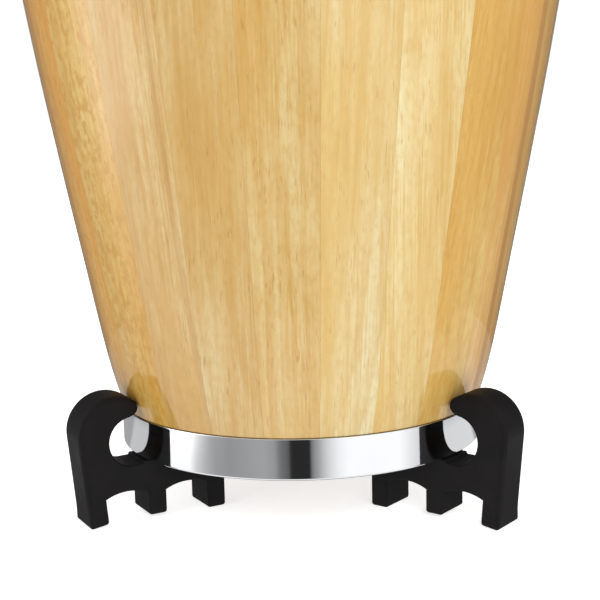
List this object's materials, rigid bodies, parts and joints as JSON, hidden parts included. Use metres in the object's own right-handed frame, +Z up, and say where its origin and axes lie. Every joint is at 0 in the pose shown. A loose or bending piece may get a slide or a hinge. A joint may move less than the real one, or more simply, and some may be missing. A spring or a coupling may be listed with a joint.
{
  "type": "conga drum",
  "caption": "Tall barrel-tapered wooden hand drum with a rawhide head, tension rods and a chrome bottom band, standing on clip-on black rubber feet.",
  "frame": {"origin": "on the floor, on the drum's axis", "axes": "+Z up along the drum's axis, front towards -Y"},
  "size_m": [0.3696, 0.4, 0.7519],
  "materials": {
    "wood": "clear gloss lacquer over natural rubberwood",
    "band_chrome": "polished chrome plate",
    "crown_chrome": "polished chrome plate",
    "rod_chrome": "polished chrome plate",
    "nut_chrome": "polished chrome plate",
    "lug_chrome": "polished chrome plate",
    "steel": "zinc-plated steel",
    "rawhide": "natural rawhide, matt",
    "rubber": "matt black moulded rubber"
  },
  "bodies": {
    "shell": {"stave_1": "wood", "stave_2": "wood", "stave_3": "wood", "stave_4": "wood", "stave_5": "wood", "stave_6": "wood", "stave_7": "wood", "stave_8": "wood", "stave_9": "wood", "stave_10": "wood", "stave_11": "wood", "stave_12": "wood", "stave_13": "wood", "stave_14": "wood", "stave_15": "wood", "stave_16": "wood", "stave_17": "wood", "stave_18": "wood", "stave_19": "wood", "stave_20": "wood", "stave_21": "wood", "stave_22": "wood", "stave_23": "wood", "bottom_band": "band_chrome", "lug_plate_1": "lug_chrome", "lug_plate_2": "lug_chrome", "lug_plate_3": "lug_chrome", "lug_plate_4": "lug_chrome", "lug_plate_5": "lug_chrome", "lug_plate_6": "lug_chrome", "lug_fixing_1": "steel", "lug_fixing_2": "steel", "lug_fixing_3": "steel", "lug_fixing_4": "steel", "lug_fixing_5": "steel", "lug_fixing_6": "steel"},
    "head": {"head_skin": "rawhide", "flesh_hoop": "steel", "crown": "crown_chrome", "tension_rod_1": "rod_chrome", "tension_rod_2": "rod_chrome", "tension_rod_3": "rod_chrome", "tension_rod_4": "rod_chrome", "tension_rod_5": "rod_chrome", "tension_rod_6": "rod_chrome"},
    "nut_1": {"tuning_nut_1": "nut_chrome"},
    "nut_2": {"tuning_nut_2": "nut_chrome"},
    "nut_3": {"tuning_nut_3": "nut_chrome"},
    "nut_4": {"tuning_nut_4": "nut_chrome"},
    "nut_5": {"tuning_nut_5": "nut_chrome"},
    "nut_6": {"tuning_nut_6": "nut_chrome"},
    "foot_1": {"foot_1": "rubber"},
    "foot_2": {"foot_2": "rubber"},
    "foot_3": {"foot_3": "rubber"}
  },
  "joints": [
    {"name": "crown_slide", "type": "slide", "parent": "shell", "child": "head", "axis": [0, 0, 1], "range_m": [0, 0.008]},
    {"name": "nut_1_turn", "type": "hinge", "parent": "shell", "child": "nut_1", "pos_m": [0, -0.189, 0.6226], "axis": [0, 0, 1], "range_deg": [0, 2043]},
    {"name": "nut_2_turn", "type": "hinge", "parent": "shell", "child": "nut_2", "pos_m": [0.16368, -0.0945, 0.6226], "axis": [0, 0, 1], "range_deg": [0, 2043]},
    {"name": "nut_3_turn", "type": "hinge", "parent": "shell", "child": "nut_3", "pos_m": [0.16368, 0.0945, 0.6226], "axis": [0, 0, 1], "range_deg": [0, 2043]},
    {"name": "nut_4_turn", "type": "hinge", "parent": "shell", "child": "nut_4", "pos_m": [0, 0.189, 0.6226], "axis": [0, 0, 1], "range_deg": [0, 2043]},
    {"name": "nut_5_turn", "type": "hinge", "parent": "shell", "child": "nut_5", "pos_m": [-0.16368, 0.0945, 0.6226], "axis": [0, 0, 1], "range_deg": [0, 2043]},
    {"name": "nut_6_turn", "type": "hinge", "parent": "shell", "child": "nut_6", "pos_m": [-0.16368, -0.0945, 0.6226], "axis": [0, 0, 1], "range_deg": [0, 2043]},
    {"name": "foot_1_pull_off", "type": "slide", "parent": "shell", "child": "foot_1", "axis": [0, 0, -1], "range_m": [0, 0.045]},
    {"name": "foot_2_pull_off", "type": "slide", "parent": "shell", "child": "foot_2", "axis": [0, 0, -1], "range_m": [0, 0.045]},
    {"name": "foot_3_pull_off", "type": "slide", "parent": "shell", "child": "foot_3", "axis": [0, 0, -1], "range_m": [0, 0.045]}
  ],
  "couplings": [
    {"joint": "nut_1_turn", "follows": "crown_slide", "rad_per_m": 4452.7},
    {"joint": "nut_2_turn", "follows": "crown_slide", "rad_per_m": 4452.7},
    {"joint": "nut_3_turn", "follows": "crown_slide", "rad_per_m": 4452.7},
    {"joint": "nut_4_turn", "follows": "crown_slide", "rad_per_m": 4452.7},
    {"joint": "nut_5_turn", "follows": "crown_slide", "rad_per_m": 4452.7},
    {"joint": "nut_6_turn", "follows": "crown_slide", "rad_per_m": 4452.7}
  ]
}
